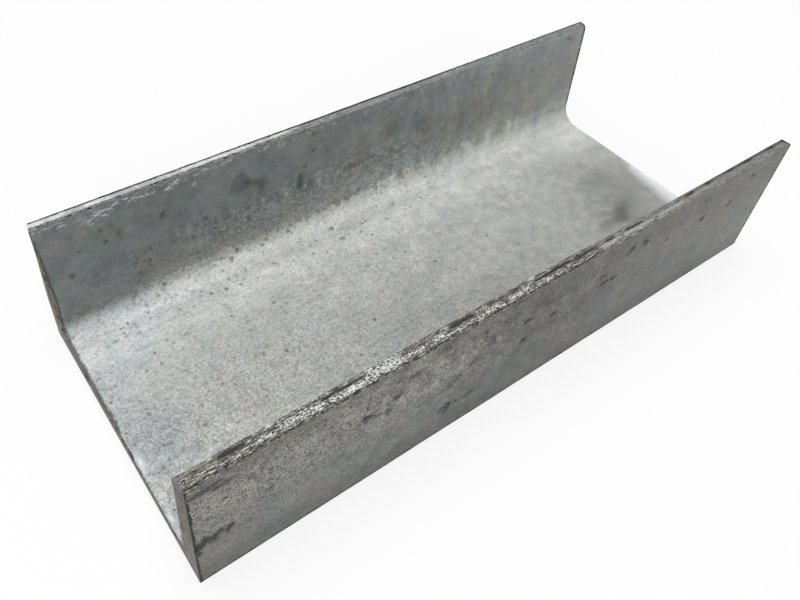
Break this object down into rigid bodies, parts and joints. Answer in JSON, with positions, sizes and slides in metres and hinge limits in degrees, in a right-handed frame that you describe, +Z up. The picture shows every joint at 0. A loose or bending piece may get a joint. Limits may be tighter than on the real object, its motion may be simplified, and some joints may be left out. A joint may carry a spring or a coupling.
{
  "type": "galvanized c-channel",
  "caption": "Cut length of hot-dip galvanized steel C-channel: a flat web between upright flanges that thicken towards rounded roots.",
  "frame": {"origin": "middle of the web's underside", "axes": "+X along the channel, +Y across the web, +Z up out of the trough, towards the flange toes"},
  "size_m": [0.237, 0.1, 0.05],
  "materials": {
    "galvanized_steel": "dull hot-dip zinc coat, mottled grey, rough at the cut edges"
  },
  "bodies": {
    "root": {"c_channel": "galvanized_steel"}
  },
  "joints": []
}
